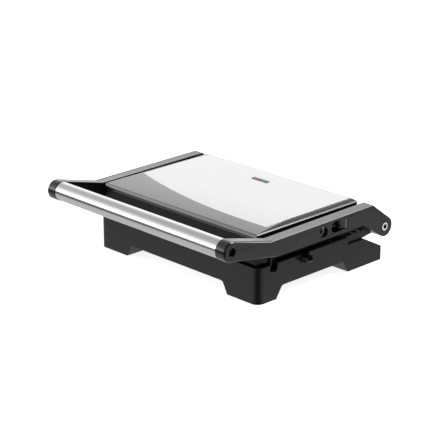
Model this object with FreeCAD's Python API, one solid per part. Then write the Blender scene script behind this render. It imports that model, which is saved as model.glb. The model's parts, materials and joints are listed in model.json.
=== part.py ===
import FreeCAD, Part
import math
import os

# Contact grill (panini press) with a floating lid carried between two side arms.
# Frame: +X to the right, -Y to the front (handle), +Z up, table at z = 0.
# The origin is the middle of the footprint: the handle axis and the hinge axis
# are the same distance in front of it and behind it.
# All sizes are millimetres.

# ---------------------------------------------------------------- overall sizes
base_width = 250.0
base_depth = 195.4
base_height = 40.4
arm_span = 234.4
arm_thickness = 13.7
arm_end_radius = 11.1
handle_above_hinge = 31.7
hinge_above_rim = 5.2
hinge_rear_inset = 12.2

# ---------------------------------------------------------------- clearances
arm_side_gap = 0.8
running_gap = 0.05
seat_gap = 0.15
bush_end_gap = 0.05
closed_gap = 1.8
drop_in_gap = 0.8
pocket_gap = 0.4
screw_hole_gap = 0.2
screw_head_gap = 0.3
end_face_gap = 0.1
past = 1.0
far_past = 10.0

# ---------------------------------------------------------------- base housing
base_wall = 2.5
leg_lift = 0.3
channel_height = 13.9
leg_foot_width = 45.35
leg_head_width = 52.3
front_leg_foot = 28.1
front_leg_head = 36.5
rear_leg_foot = 54.9
rear_leg_head = 63.2
channel_corner_radius = 5.0
step_from_rear = 56.4
step_height = 8.3
slope_run = 29.8
rear_wall_height = 16.4
front_corner_radius = 9.0
rear_corner_radius = 1.5
rim_behind_plate = 7.1
catch_notch_from_front = 23.8
catch_notch_length = 10.4
catch_notch_depth = 7.4
catch_tongue_reach = 2.4
catch_tongue_width = 2.6
catch_tongue_height = 1.2
spout_from_front = 70.4
spout_width = 11.0
spout_wall = 1.5
spout_overhang = 8.0
spout_floor_drop = 1.6
post_from_front_leg = 7.9
post_from_rear_leg = 8.2
post_radius = 5.0
cover_side_margin = 22.7
cover_front_margin = 12.0
cover_rear_margin = 14.0
cover_thickness = 2.2
cover_lip = 4.0
cover_screw_radius = 1.5
cover_screw_hole_radius = 1.7
cover_screw_head_radius = 1.9
cover_screw_head_height = 1.2
cover_screw_shares = (0.06, 0.5, 0.94)
vent_rows = 5
vent_row_pitch = 9.0
vent_column_pitch = 27.0
vent_half_length = 10.5
vent_half_width = 1.6
vent_corner_radius = 1.5

# ---------------------------------------------------------------- hinge
bracket_width = 9.2
bracket_inset = 3.0
bracket_foot_height = 8.3
bracket_screw_top = 5.6
bracket_foot_length = 24.5
bracket_from_step = 0.4
bracket_screw_offsets = (6.5, 18.5)
bracket_screw_length = 10.0
bracket_head_seat = 3.2
bracket_boss_radius = 4.2
bracket_boss_height = 13.0
bracket_boss_drop = 1.0
hinge_pin_radius = 4.5
hinge_socket_radius = 2.25
hinge_pin_recess = 0.3
hinge_pin_end = 1.0
hinge_socket_depth = 3.5
hinge_nut_width = 4.0
hinge_nut_flats = 13.0
hinge_bush_radius = 8.6

# ---------------------------------------------------------------- arms
arm_wall = 2.6
arm_front_depth = 18.2
arm_rear_depth = 19.8
arm_under_pivot = 8.8
arm_front_kink_from_handle = 58.0
arm_front_under_from_handle = 62.0
arm_rear_kink_from_hinge = 21.9
arm_rear_under_from_hinge = 34.7
arm_nose_chamfer = 1.5
arm_edge_chamfer = 0.9
arm_cover_thickness = 2.0
arm_boss_radius = 3.4
arm_boss_from_handle = 29.2
arm_boss_front_rise = 15.6
arm_boss_from_pivot = 41.3
arm_boss_middle_rise = 9.4
arm_boss_from_hinge = 43.2
arm_boss_rear_rise = 5.6
main_boss_radius = 8.6
arm_screw_radius = 1.2
arm_screw_depth = 8.0
arm_screw_length = 7.5
arm_screw_head_radius = 2.4
arm_screw_head_seat = 0.9
arm_screw_sink_radius = 2.6
arm_screw_hole_radius = 1.4
pivot_hole_in_cover_gap = 0.4
tail_tip_angle = -38

# ---------------------------------------------------------------- handle
tube_radius = 10.6
tube_wall = 1.2
spigot_length = 4.0
core_radius = 5.0
handle_screw_radius = 2.0
handle_head_radius = 3.7
handle_well_radius = 4.6
handle_well_depth = 7.0
handle_head_height = 3.0
handle_screw_reach = 18.0
handle_tap_depth = 22.0
handle_key_flats = 3.0
handle_key_depth = 1.8

# ---------------------------------------------------------------- lid
lid_side_gap = 6.8
lid_front_setback = 3.3
lid_rear_setback = 34.8
lid_seam_above_rim = 29.4
lid_crown_height = 8.4
lid_front_foot_height = 2.6
lid_front_crease_height = 6.2
lid_front_crease_run = 1.7
lid_side_crease_height = 5.1
lid_crest_inset = 7.5
lid_rear_crest_inset = 3.9
crease_share = 0.4
crest_share = 0.5
crest_inner_share = 0.6
crest_peak = 4.0
crest_bulge = 0.65
lid_crown_from_front = 68.1
lid_wall = 2.5
lid_cover_wall = 2.2
lid_skirt_inset = 0.4
lid_front_corner_radius = 1.2
lid_rear_corner_radius = 2.5
lid_pivot_from_hinge = 99.9
lid_pivot_below_seam = 5.2
lid_pivot_radius = 3.8
lid_pivot_head_radius = 6.0
lid_pivot_well_radius = 6.2
lid_pivot_well_depth = 7.4
lid_pivot_head_height = 1.8
lid_pivot_boss_radius = 7.2
lid_pivot_boss_length = 9.0
lid_pivot_seat = 0.2
lid_pivot_slot_depth = 0.9
lid_pivot_slot_half_width = 0.7
lid_pivot_bush_below_seam = 0.3
lid_pivot_bush_gap = 0.15
lid_deck_drop = 0.2
lid_head_sink = 3.0
lid_plate_screw_drop = 0.6
lid_deck_thickness = 2.4
lid_tab_half_width = 1.6
lid_tab_above_notch = 4.6
lid_tab_rise = 5.0
lid_tab_from_side = 4.0
lid_notch_land = 1.0
steel_thickness = 0.8
steel_gap = 0.2
steel_edge_inset = 0.6
steel_bed_gap = 0.05
steel_pad_margin = 4.0
steel_left_from_front = 51.1
steel_middle_x = -9.0
steel_middle_from_front = 28.1
steel_right_from_front = 23.3
post_side_margin = 12.0
lid_post_end_margin = 15.5
lid_screw_side_margin = 59.0
lid_screw_end_margin = 12.0
lid_screw_radius = 1.2
lid_screw_boss_radius = 3.6
lid_screw_boss_drop = 1.6
lid_screw_reach = 4.6
lid_screw_hole_depth = 5.0
lid_screw_hole_radius = 1.4
lid_screw_head_radius = 2.6
lid_screw_head_height = 1.6

# ---------------------------------------------------------------- lamps
bezel_from_rear = 29.6
bezel_length = 24.0
bezel_width = 5.6
bezel_height = 0.5
lamp_length = 7.0
lamp_width = 2.6
lamp_offset = 5.2
lamp_depth = 3.0
lamp_clearance = 0.1
lamp_corner_radius = 0.8
lamp_well_inset = 0.8
bezel_corner_radius = 1.2
bezel_wall = 1.2
bezel_stem_inset = 1.0
lamp_wiring_half_length = 8.0
lamp_wiring_half_width = 6.0

# ---------------------------------------------------------------- cooking plates
plate_side_margin = 15.0
plate_front_margin = 9.4
plate_rear_margin = 7.4
plate_thickness = 4.0
plate_below_rim = 2.4
rib_height = 3.0
rib_width = 2.6
rib_pitch = 7.8
rib_margin = 11.0
plate_corner_radius = 9.0
groove_width = 5.0
groove_depth = 1.6
groove_from_edge = 2.2
plate_boss_height = 4.0
plate_screw_stop = 2.0
spout_root = 6.0
spout_drop = 1.4
spout_clearance = 0.6

# ---------------------------------------------------------------- heating parts
element_radius = 3.2
element_gap = 0.2
element_side_margin = 26.0
element_end_margin = 24.0
element_tail_x = 18.0
element_tail_margin = 12.0
element_bend_radius = 14.0
element_tail_bend = 0.6
element_pin_radius = 1.6
element_pin_length = 7.0
clamp_reach = 11.0
clamp_half_width = 6.0
clamp_thickness = 1.2
clamp_gap = 0.2
thermostat_body = (8.0, 0.2, 6.0)
thermostat_cap = (6.4, 6.0, 10.0)
thermostat_tab = (12.5, 2.8, 7.0, 7.8)
fuse_from_middle = 18.7
fuse_drop = 3.2
fuse_radius = 2.0
fuse_half_length = 8.0
fuse_lead_radius = 0.6
fuse_lead_end = 18.0
shield_thickness = 0.8
shield_drop = 9.5
shield_margin = 4.0
shield_lip = 5.0
shield_front_margin = 6.0
shield_rear_margin = 2.0
shield_post_gap = 0.6
shield_window_radius = 11.0
screw_radius = 2.0
screw_head_radius = 3.5
screw_head_height = 2.4
screw_recess_radius = 1.2
screw_recess_depth = 1.2
terminal_places = (-16.0, 0.0, 16.0)
terminal_length = 10.0
terminal_height = 9.0
terminal_half_width = 24.0
terminal_from_plate = 1.0
terminal_well_radius = 2.6
terminal_well_depth = 5.0
terminal_way_radius = 1.6
terminal_screw_radius = 2.3
terminal_screw_top = 0.4
terminal_screw_bottom = 3.2

# ---------------------------------------------------------------- hinge release
window_length = 25.5
window_from_hinge = 62.4
window_above_under = 3.6
window_height = 12.5
window_flat = 0.1
window_rear_radius = 1.0
release_block_length = 16.0
release_tab_thickness = 6.6
release_block_from_rear = 5.2
release_tab_from_rear = 0.5
release_tab_gap = 0.6
release_tab_root = 1.0
release_scoop_radius = 5.2
release_scoop_out = 1.2
release_scoop_ahead = 2.2
release_cap = 2.5
release_rod_below_top = 3.4
cover_face_gap = 0.2
release_rod_radius = 1.2
release_rod_seat = 4.0
release_rod_bend = 31.0
release_nose_rise = 6.0
release_nose_length = 5.0
release_nose_gap = 1.6
detent_radius = 8.4
detent_thickness = 4.0
detent_notch_radius = 1.9
detent_open_angle = 90.0
spring_radius = 2.6
spring_wire_radius = 0.45
spring_pitch = 2.0
guide_radius = 1.1
spring_bore_gap = 0.3
spring_shelf = 1.0
spring_rise = 4.4
spring_end_room = 5.0
guide_seat = 1.4
guide_end_gap = 1.5

# ---------------------------------------------------------------- feet and inlet
foot_radius = 6.0
foot_height = 2.5
foot_well_radius = 2.0
foot_well_depth = 1.0
foot_outward = 1.0
inlet_from_side = 26.0
inlet_above_leg = 8.4
inlet_radius = 3.6
inlet_bush_radius = 4.9
inlet_flange_radius = 6.3
inlet_flange_depth = 1.6
inlet_bush_length = 12.0
inlet_face_recess = 0.2

# ---------------------------------------------------------------- worked-out places
half_base = base_width / 2
hinge_y = arm_span / 2
handle_y = -arm_span / 2
hinge_z = base_height + hinge_above_rim
handle_z = hinge_z + handle_above_hinge
base_rear = hinge_y + hinge_rear_inset
base_front = base_rear - base_depth
step_y = base_rear - step_from_rear
step_z = base_height - step_height
front_channel_foot = half_base - leg_foot_width
front_channel_head = half_base - leg_head_width
cover_half_width = front_channel_head - cover_side_margin
catch_notch_y = base_front + catch_notch_from_front
spout_y = base_front + spout_from_front
inlet_x = -(half_base - inlet_from_side)
inlet_z = leg_lift + inlet_above_leg

arm_inner_x = half_base + arm_side_gap
arm_outer_x = arm_inner_x + arm_thickness
arm_pocket_x = arm_outer_x - arm_wall
bracket_outer_x = half_base - bracket_inset
bracket_inner_x = bracket_outer_x - bracket_width
tube_bore_radius = tube_radius - tube_wall
spigot_radius = tube_bore_radius - running_gap
spigot_end_x = arm_inner_x - spigot_length

lid_half = arm_inner_x - lid_side_gap
lid_front = base_front + lid_front_setback
lid_rear = base_rear - lid_rear_setback
lid_bottom_z = base_height + closed_gap
lid_seam_z = base_height + lid_seam_above_rim
lid_top_z = lid_seam_z + lid_crown_height
lid_front_foot_z = lid_seam_z + lid_front_foot_height
lid_front_crease_z = lid_seam_z + lid_front_crease_height
lid_side_crease_z = lid_seam_z + lid_side_crease_height
lid_crown_y = lid_front + lid_crown_from_front
lid_crest_x = lid_half - lid_crest_inset
lid_pivot_y = hinge_y - lid_pivot_from_hinge
lid_pivot_z = lid_seam_z - lid_pivot_below_seam
deck_top_z = lid_seam_z - lid_deck_drop
deck_low_z = deck_top_z - lid_deck_thickness
steel_left_y = lid_front + steel_left_from_front
steel_middle_y = lid_front + steel_middle_from_front
steel_right_y = lid_front + steel_right_from_front
bezel_y = lid_rear - bezel_from_rear
catch_notch_x = lid_half - lid_skirt_inset - lid_notch_land - drop_in_gap

arm_bottom_z = lid_pivot_z - arm_under_pivot
arm_top_front_z = arm_bottom_z + arm_front_depth
arm_top_rear_z = arm_bottom_z + arm_rear_depth
arm_boss_places = ((handle_y + arm_boss_from_handle, arm_bottom_z + arm_boss_front_rise),
                   (lid_pivot_y - arm_boss_from_pivot, arm_bottom_z + arm_boss_middle_rise),
                   (hinge_y - arm_boss_from_hinge, arm_bottom_z + arm_boss_rear_rise))
window_rear_y = hinge_y - window_from_hinge
window_front_y = window_rear_y - window_length
window_low_z = arm_bottom_z + window_above_under
window_high_z = window_low_z + window_height
release_rest_rear = window_rear_y + release_block_from_rear

plate_half_width = half_base - plate_side_margin
plate_front = base_front + plate_front_margin
plate_rear = lid_rear - plate_rear_margin
plate_middle_y = (plate_front + plate_rear) / 2
lower_plate_top = base_height - plate_below_rim
lower_plate_low = lower_plate_top - plate_thickness
upper_plate_low = lower_plate_top + rib_height * 2 + closed_gap
upper_plate_top = upper_plate_low + plate_thickness
post_x = plate_half_width - post_side_margin
post_front_y = base_front + front_leg_head + post_from_front_leg
post_rear_y = base_rear - rear_leg_head - post_from_rear_leg
element_half_width = plate_half_width - element_side_margin
element_front_y = plate_front + element_end_margin
element_rear_y = plate_rear - element_end_margin
element_tail_y = plate_rear - element_tail_margin
shield_half_width = plate_half_width - shield_margin


# ---------------------------------------------------------------- shape helpers
def place(axis, u, v, w):
    """A point from two in-plane coordinates and the distance along the axis."""
    if axis == "x":
        return FreeCAD.Vector(w, u, v)
    if axis == "y":
        return FreeCAD.Vector(u, w, v)
    return FreeCAD.Vector(u, v, w)


def rounded_edges(points, radius, axis, level):
    """Edges of a closed outline whose corners are rounded; radius may be a list."""
    count = len(points)
    radii = radius if isinstance(radius, (list, tuple)) else [radius] * count
    arcs = []
    for i in range(count):
        corner = FreeCAD.Vector(points[i][0], points[i][1], 0)
        before = FreeCAD.Vector(points[i - 1][0], points[i - 1][1], 0) - corner
        after = FreeCAD.Vector(points[(i + 1) % count][0], points[(i + 1) % count][1], 0) - corner
        before.normalize()
        after.normalize()
        if radii[i] <= 0:
            arcs.append((corner, None, corner))
            continue
        half = before.getAngle(after) / 2
        reach = radii[i] / math.tan(half)
        middle = before + after
        middle.normalize()
        apex = corner + middle * (radii[i] / math.sin(half) - radii[i])
        arcs.append((corner + before * reach, apex, corner + after * reach))
    edges = []
    for i in range(count):
        start, apex, end = (p and place(axis, p.x, p.y, level) for p in arcs[i])
        if apex:
            edges.append(Part.Arc(start, apex, end).toShape())
        following = arcs[(i + 1) % count][0]
        target = place(axis, following.x, following.y, level)
        if end.distanceToPoint(target) > 1e-6:
            edges.append(Part.LineSegment(end, target).toShape())
    return edges


def prism(points, axis, low, high, radius=0):
    """A straight solid with a rounded polygon as its section."""
    face = Part.Face(Part.Wire(rounded_edges(points, radius, axis, low)))
    return face.extrude(place(axis, 0, 0, high - low))


def box(x0, x1, y0, y1, z0, z1):
    return Part.makeBox(x1 - x0, y1 - y0, z1 - z0, FreeCAD.Vector(x0, y0, z0))


def rod(axis, radius, u, v, low, high):
    """A cylinder along an axis, through the in-plane point (u, v)."""
    return Part.makeCylinder(radius, high - low, place(axis, u, v, low), place(axis, 0, 0, 1))


def ring(axis, outer, inner, u, v, low, high):
    return rod(axis, outer, u, v, low, high).cut(rod(axis, inner, u, v, low, high))


def hexagon(axis, flats, u, v, low, high):
    corner = flats / math.sqrt(3)
    points = [(u + corner * math.cos(math.radians(60 * i)),
               v + corner * math.sin(math.radians(60 * i))) for i in range(6)]
    return prism(points, axis, low, high)


def rectangle(x0, x1, y0, y1):
    return [(x0, y0), (x1, y0), (x1, y1), (x0, y1)]


def join(first, others):
    return first.fuse(others).removeSplitter()


def mirrored(shape):
    return shape.mirror(FreeCAD.Vector(0, 0, 0), FreeCAD.Vector(1, 0, 0))


def both_sides(shape):
    return [shape, mirrored(shape)]


def save(name, shapes):
    """Write one node: a single solid, or a group of separate solids."""
    pieces = shapes if isinstance(shapes, list) else [shapes]
    solids = [solid for piece in pieces for solid in piece.Solids]
    result = solids[0] if len(solids) == 1 else Part.makeCompound(solids)
    if not result.isValid():
        print("not valid:", name)
    result.exportStep(os.path.join("parts", name + ".step"))
    print(name, len(solids), round(result.Volume / 1000, 2))


def screw(axis, u, v, head_at, tip_at, flip=1):
    """A pan-head screw: its head starts at head_at and its shank ends at tip_at."""
    head_end = head_at + flip * screw_head_height
    head = rod(axis, screw_head_radius, u, v, min(head_at, head_end), max(head_at, head_end))
    shank = rod(axis, screw_radius, u, v, min(head_end, tip_at), max(head_end, tip_at))
    slot_end = head_at + flip * screw_recess_depth
    recess = rod(axis, screw_recess_radius, u, v, min(head_at, slot_end), max(head_at, slot_end))
    return join(head, [shank]).cut(recess)


# ---------------------------------------------------------------- base
base_posts = [(sx * post_x, y) for sx in (-1, 1) for y in (post_front_y, post_rear_y)]
cover_front = base_front + cover_front_margin
cover_rear = base_rear - cover_rear_margin
cover_floor_top = channel_height + base_wall
bracket_screw_places = [(sx * (bracket_inner_x + bracket_width / 2), step_y + d)
                        for sx in (-1, 1) for d in bracket_screw_offsets]


def base_side_profile(inset, low):
    """Side outline of the base: flat rim, step for the hinge foot, sloping tail."""
    slope_y = base_rear - slope_run
    return [(base_front + inset, low), (base_front + inset, base_height - inset),
            (step_y - inset, base_height - inset), (step_y - inset, step_z - inset),
            (slope_y - inset / 2, step_z - inset), (base_rear - inset, rear_wall_height - inset),
            (base_rear - inset, low)]


def base_channels(grow, top):
    """The two arches under the base that leave four legs standing."""
    arch = [(-front_channel_foot - grow, -far_past), (front_channel_foot + grow, -far_past),
            (front_channel_foot + grow, leg_lift), (front_channel_head + grow, top),
            (-front_channel_head - grow, top), (-front_channel_foot - grow, leg_lift)]
    front_foot = base_front + front_leg_foot - grow
    front_head = base_front + front_leg_head - grow
    rear_foot = base_rear - rear_leg_foot + grow
    rear_head = base_rear - rear_leg_head + grow
    side = [(front_foot, -far_past), (rear_foot, -far_past), (rear_foot, leg_lift), (rear_head, top),
            (front_head, top), (front_foot, leg_lift)]
    radii = [0, 0, 0, channel_corner_radius, channel_corner_radius, 0]
    along_y = prism(arch, "y", base_front - far_past, base_rear + far_past, radii)
    along_x = prism(side, "x", -half_base - far_past, half_base + far_past, radii)
    return along_y.fuse(along_x)


def base_body(inset, low):
    side = prism(base_side_profile(inset, low), "x", -half_base + inset, half_base - inset)
    rim_rear = plate_rear + rim_behind_plate - inset
    top = base_height - inset
    raised = box(-bracket_inner_x + inset, bracket_inner_x - inset,
                 step_y - far_past, rim_rear, rear_wall_height, top)
    plan = rectangle(-half_base + inset, half_base - inset, base_front + inset, base_rear - inset)
    front = front_corner_radius - inset
    rear = rear_corner_radius - inset
    outline = prism(plan, "z", low, base_height, [front, front, rear, rear])
    return join(side, [raised]).common(outline)


def base_housing():
    shell = base_body(0.0, leg_lift).cut(base_channels(0.0, channel_height))
    hollow = base_body(base_wall, leg_lift + base_wall)
    hollow = hollow.cut(base_channels(base_wall, channel_height + base_wall))
    shell = shell.cut(hollow)
    opening = rectangle(-plate_half_width - drop_in_gap, plate_half_width + drop_in_gap,
                        plate_front - drop_in_gap, plate_rear + drop_in_gap)
    shell = shell.cut(prism(opening, "z", base_height - base_wall - past, base_height + past,
                            plate_corner_radius + drop_in_gap))
    post_top = lower_plate_low - plate_boss_height
    posts = [rod("z", post_radius, x, y, channel_height, post_top) for x, y in base_posts]
    boss_top = step_z - bracket_boss_drop
    bosses = [rod("z", bracket_boss_radius, x, y, boss_top - bracket_boss_height, boss_top)
              for x, y in bracket_screw_places]
    ledge = box(-cover_half_width - cover_lip, cover_half_width + cover_lip,
                cover_front - cover_lip, cover_rear + cover_lip, channel_height, cover_floor_top)
    shell = join(shell, posts + bosses + [ledge])
    cuts = [box(-cover_half_width - seat_gap, cover_half_width + seat_gap, cover_front - seat_gap,
                cover_rear + seat_gap, channel_height - past, channel_height + cover_thickness),
            box(-cover_half_width + cover_lip, cover_half_width - cover_lip, cover_front + cover_lip,
                cover_rear - cover_lip, channel_height, cover_floor_top + past)]
    for x, y in base_posts:
        cuts.append(rod("z", screw_radius + screw_hole_gap, x, y, channel_height - past,
                        lower_plate_low))
        cuts.append(rod("z", screw_head_radius + screw_head_gap, x, y, channel_height - past,
                        cover_floor_top))
    for x, y in bracket_screw_places:
        cuts.append(rod("z", screw_radius, x, y, step_z - bracket_screw_length - past, step_z + past))
    for x, y in foot_places():
        cuts.append(rod("z", foot_radius + seat_gap, x, y, 0, foot_height))
    cuts.append(box(catch_notch_x, half_base + past, catch_notch_y - catch_notch_length / 2,
                    catch_notch_y + catch_notch_length / 2, base_height - catch_notch_depth,
                    base_height + past))
    cuts.append(box(plate_half_width - past, half_base + past, spout_y - spout_width / 2 - drop_in_gap,
                    spout_y + spout_width / 2 + drop_in_gap,
                    lower_plate_low - spout_floor_drop - spout_clearance, base_height + past))
    cuts.append(rod("y", inlet_bush_radius + seat_gap, inlet_x, inlet_z, base_rear - far_past,
                    base_rear + past))
    cuts.append(rod("y", inlet_flange_radius + seat_gap, inlet_x, inlet_z,
                    base_rear - inlet_flange_depth, base_rear + past))
    for x, y in cover_screw_places():
        cuts.append(rod("z", cover_screw_radius, x, y, channel_height, cover_floor_top + past))
    tongue_low = base_height - catch_notch_depth - past
    tongue = box(catch_notch_x, half_base + catch_tongue_reach, catch_notch_y,
                 catch_notch_y + catch_tongue_width, tongue_low, tongue_low + past + catch_tongue_height)
    return join(shell.cut(cuts), [tongue])


def foot_places():
    side = (front_channel_foot + half_base) / 2 + foot_outward
    return [(sx * side, y) for sx in (-1, 1)
            for y in (base_front + front_leg_foot / 2, base_rear - rear_leg_foot / 2)]


def cover_screw_places():
    x = cover_half_width - cover_lip / 2
    return [(sx * x, cover_front + share * (cover_rear - cover_front))
            for sx in (-1, 1) for share in cover_screw_shares]


def base_bottom_cover():
    plate = box(-cover_half_width, cover_half_width, cover_front, cover_rear,
                channel_height, channel_height + cover_thickness - seat_gap)
    vents = []
    low, high = channel_height - past, channel_height + cover_thickness + past
    for row in range(-vent_rows, vent_rows + 1):
        for column in (-1, 0, 1):
            x = column * vent_column_pitch
            y = (cover_front + cover_rear) / 2 + row * vent_row_pitch
            vent = rectangle(x - vent_half_length, x + vent_half_length, y - vent_half_width,
                             y + vent_half_width)
            vents.append(prism(vent, "z", low, high, vent_corner_radius))
    holes = [rod("z", cover_screw_hole_radius, x, y, low, high) for x, y in cover_screw_places()]
    return plate.cut(vents + holes)


def bottom_cover_screws():
    found = []
    for x, y in cover_screw_places():
        head = rod("z", cover_screw_head_radius, x, y, channel_height - cover_screw_head_height,
                   channel_height)
        found.append(join(head, [rod("z", cover_screw_radius, x, y, channel_height, cover_floor_top)]))
    return found


def hinge_bracket():
    """Right-hand hinge foot with its ear; the pin passes through the round end."""
    start = step_y + bracket_from_step
    foot_top = step_z + bracket_foot_height
    foot_end = start + bracket_foot_length
    rise = tangent_point((hinge_y, hinge_z), arm_end_radius, (foot_end, foot_top), -1)
    profile = [(start, step_z), (start, foot_top), (foot_end, foot_top), rise, (hinge_y, hinge_z),
               (hinge_y, hinge_z - arm_end_radius), (base_rear - slope_run, step_z)]
    body = prism(profile, "x", bracket_inner_x, bracket_outer_x)
    body = join(body, [rod("x", arm_end_radius, hinge_y, hinge_z, bracket_inner_x, bracket_outer_x)])
    body = body.cut(rod("x", hinge_pin_radius, hinge_y, hinge_z, bracket_inner_x - past,
                        bracket_outer_x + past))
    for x, y in bracket_screw_places:
        if x > 0:
            body = body.cut(rod("z", screw_radius + screw_hole_gap, x, y, step_z - past, foot_top + past))
            body = body.cut(rod("z", screw_head_radius + screw_head_gap, x, y,
                                step_z + bracket_head_seat, foot_top + past))
    return body


def hinge_pin():
    outer = arm_outer_x - hinge_pin_recess
    inner = bracket_inner_x - hinge_nut_width - hinge_pin_end
    pin = rod("x", hinge_pin_radius, hinge_y, hinge_z, inner, outer)
    return pin.cut(rod("x", hinge_socket_radius, hinge_y, hinge_z,
                       outer - hinge_socket_depth, outer + past))


def hinge_nut():
    nut = hexagon("x", hinge_nut_flats, hinge_y, hinge_z, bracket_inner_x - hinge_nut_width, bracket_inner_x)
    return nut.cut(rod("x", hinge_pin_radius, hinge_y, hinge_z, 0, half_base))


def hinge_bush():
    return ring("x", hinge_bush_radius, hinge_pin_radius, hinge_y, hinge_z,
                bracket_outer_x, arm_inner_x - bush_end_gap)


def rubber_feet():
    feet = []
    for x, y in foot_places():
        pad = rod("z", foot_radius, x, y, 0, foot_height)
        feet.append(pad.cut(rod("z", foot_well_radius, x, y, -past, foot_well_depth)))
    return feet


def cord_inlet_bush():
    face = base_rear - inlet_face_recess
    body = rod("y", inlet_bush_radius, inlet_x, inlet_z, face - inlet_bush_length, face)
    flange = rod("y", inlet_flange_radius, inlet_x, inlet_z, base_rear - inlet_flange_depth, face)
    return join(body, [flange]).cut(rod("y", inlet_radius, inlet_x, inlet_z, 0, base_rear + past))


# ---------------------------------------------------------------- cooking plates
def plate_ribs(low, high, front, rear):
    """Straight ribs that run from front to rear, evenly spaced about the middle."""
    reach = plate_half_width - rib_margin
    count = int(reach / rib_pitch)
    ribs = []
    for i in range(-count, count + 1):
        x = i * rib_pitch
        ribs.append(box(x - rib_width / 2, x + rib_width / 2, front, rear, low, high))
    return ribs


def plate_slab(low, high, inset=0.0):
    outline = rectangle(-plate_half_width + inset, plate_half_width - inset,
                        plate_front + inset, plate_rear - inset)
    return prism(outline, "z", low, high, plate_corner_radius - inset)


def lower_grill_plate():
    slab = plate_slab(lower_plate_low, lower_plate_top)
    gutter = plate_slab(lower_plate_top - groove_depth, lower_plate_top + past, groove_from_edge)
    gutter = gutter.cut(plate_slab(lower_plate_low, lower_plate_top + 2 * past,
                                   groove_from_edge + groove_width))
    spout_low = lower_plate_low - spout_drop
    trough = box(plate_half_width - spout_root, half_base + spout_overhang, spout_y - spout_width / 2,
                 spout_y + spout_width / 2, spout_low, lower_plate_top)
    run = box(plate_half_width - spout_root, half_base + spout_overhang + past,
              spout_y - spout_width / 2 + spout_wall, spout_y + spout_width / 2 - spout_wall,
              spout_low + spout_wall, lower_plate_top + past)
    front = plate_front + rib_margin
    rear = plate_rear - rib_margin
    bosses = [rod("z", post_radius, x, y, lower_plate_low - plate_boss_height, lower_plate_low)
              for x, y in base_posts]
    body = join(slab, bosses + [trough]).cut([gutter, run])
    body = join(body, plate_ribs(lower_plate_top, lower_plate_top + rib_height, front, rear))
    holes = [rod("z", screw_radius, x, y, 0, lower_plate_top - plate_screw_stop) for x, y in base_posts]
    return body.cut(holes)


lid_posts = [(sx * post_x, y) for sx in (-1, 1)
             for y in (plate_front + lid_post_end_margin, plate_rear - lid_post_end_margin)]


def upper_grill_plate():
    slab = plate_slab(upper_plate_low, upper_plate_top)
    front = plate_front + rib_margin
    rear = plate_rear - rib_margin
    bosses = [rod("z", post_radius, x, y, upper_plate_top, upper_plate_top + plate_boss_height)
              for x, y in lid_posts]
    ribs = plate_ribs(upper_plate_low - rib_height, upper_plate_low, front, rear)
    holes = [rod("z", screw_radius, x, y, upper_plate_low + plate_screw_stop, lid_top_z)
             for x, y in lid_posts]
    return join(slab, bosses + ribs).cut(holes)


def element_path(level):
    points = [(-element_tail_x, element_tail_y), (-element_tail_x, element_rear_y),
              (-element_half_width, element_rear_y), (-element_half_width, element_front_y),
              (element_half_width, element_front_y), (element_half_width, element_rear_y),
              (element_tail_x, element_rear_y), (element_tail_x, element_tail_y)]
    tail_bend = element_bend_radius * element_tail_bend
    bends = [0, tail_bend] + [element_bend_radius] * 4 + [tail_bend, 0]
    edges = rounded_edges(points, bends, "z", level)
    return Part.Wire(edges[:-1])


def heating_element(level):
    """A sheathed rod bent into a flat loop, with a thinner pin at each end."""
    start = FreeCAD.Vector(-element_tail_x, element_tail_y, level)
    profile = Part.Wire(Part.makeCircle(element_radius, start, FreeCAD.Vector(0, 1, 0)))
    sheath = element_path(level).makePipeShell([profile], True, True)
    solid = sheath.Solids[0]
    pins = [rod("y", element_pin_radius, sx * element_tail_x, level, element_tail_y,
                element_tail_y + element_pin_length) for sx in (-1, 1)]
    return join(solid, pins)


def element_clamps(level, plate_face):
    """Saddle clips that hold the element against the plate, at four places."""
    side = 1 if level > plate_face else -1
    far = level + side * (element_radius + clamp_gap)
    strap_low, strap_high = sorted((far, far + side * clamp_thickness))
    foot_low, foot_high = sorted((plate_face, far))
    strap = box(-clamp_reach, clamp_reach, -clamp_half_width, clamp_half_width, strap_low, strap_high)
    foot = box(clamp_reach - clamp_thickness, clamp_reach, -clamp_half_width, clamp_half_width,
               foot_low, foot_high)
    clip = join(strap, both_sides(foot))
    middle = element_half_width / 2
    clips = []
    for x, y, turn in ((-element_half_width, plate_middle_y, 0), (element_half_width, plate_middle_y, 0),
                       (-middle, element_front_y, 90), (middle, element_front_y, 90)):
        copy = clip.copy()
        copy.rotate(FreeCAD.Vector(0, 0, 0), FreeCAD.Vector(0, 0, 1), turn)
        copy.translate(FreeCAD.Vector(x, y, 0))
        clips.append(copy)
    return clips


def heat_shield(face, side, posts):
    """A folded sheet tray behind the element that keeps heat off the plastic shell."""
    low, high = sorted((face, face + side * shield_thickness))
    front = plate_front + shield_front_margin
    rear = plate_rear - shield_rear_margin
    sheet = box(-shield_half_width, shield_half_width, front, rear, low, high)
    lip_low, lip_high = sorted((face, face - side * shield_lip))
    lips = [box(-shield_half_width, shield_half_width, front, front + shield_thickness, lip_low, lip_high),
            box(-shield_half_width, -shield_half_width + shield_thickness, front, rear, lip_low, lip_high),
            box(shield_half_width - shield_thickness, shield_half_width, front, rear, lip_low, lip_high)]
    below, above = low - far_past, high + far_past
    holes = [rod("z", post_radius + shield_post_gap, x, y, below, above) for x, y in posts]
    holes.append(rod("z", shield_window_radius, 0, plate_middle_y, below, above))
    return join(sheet, lips).cut(holes)


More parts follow.
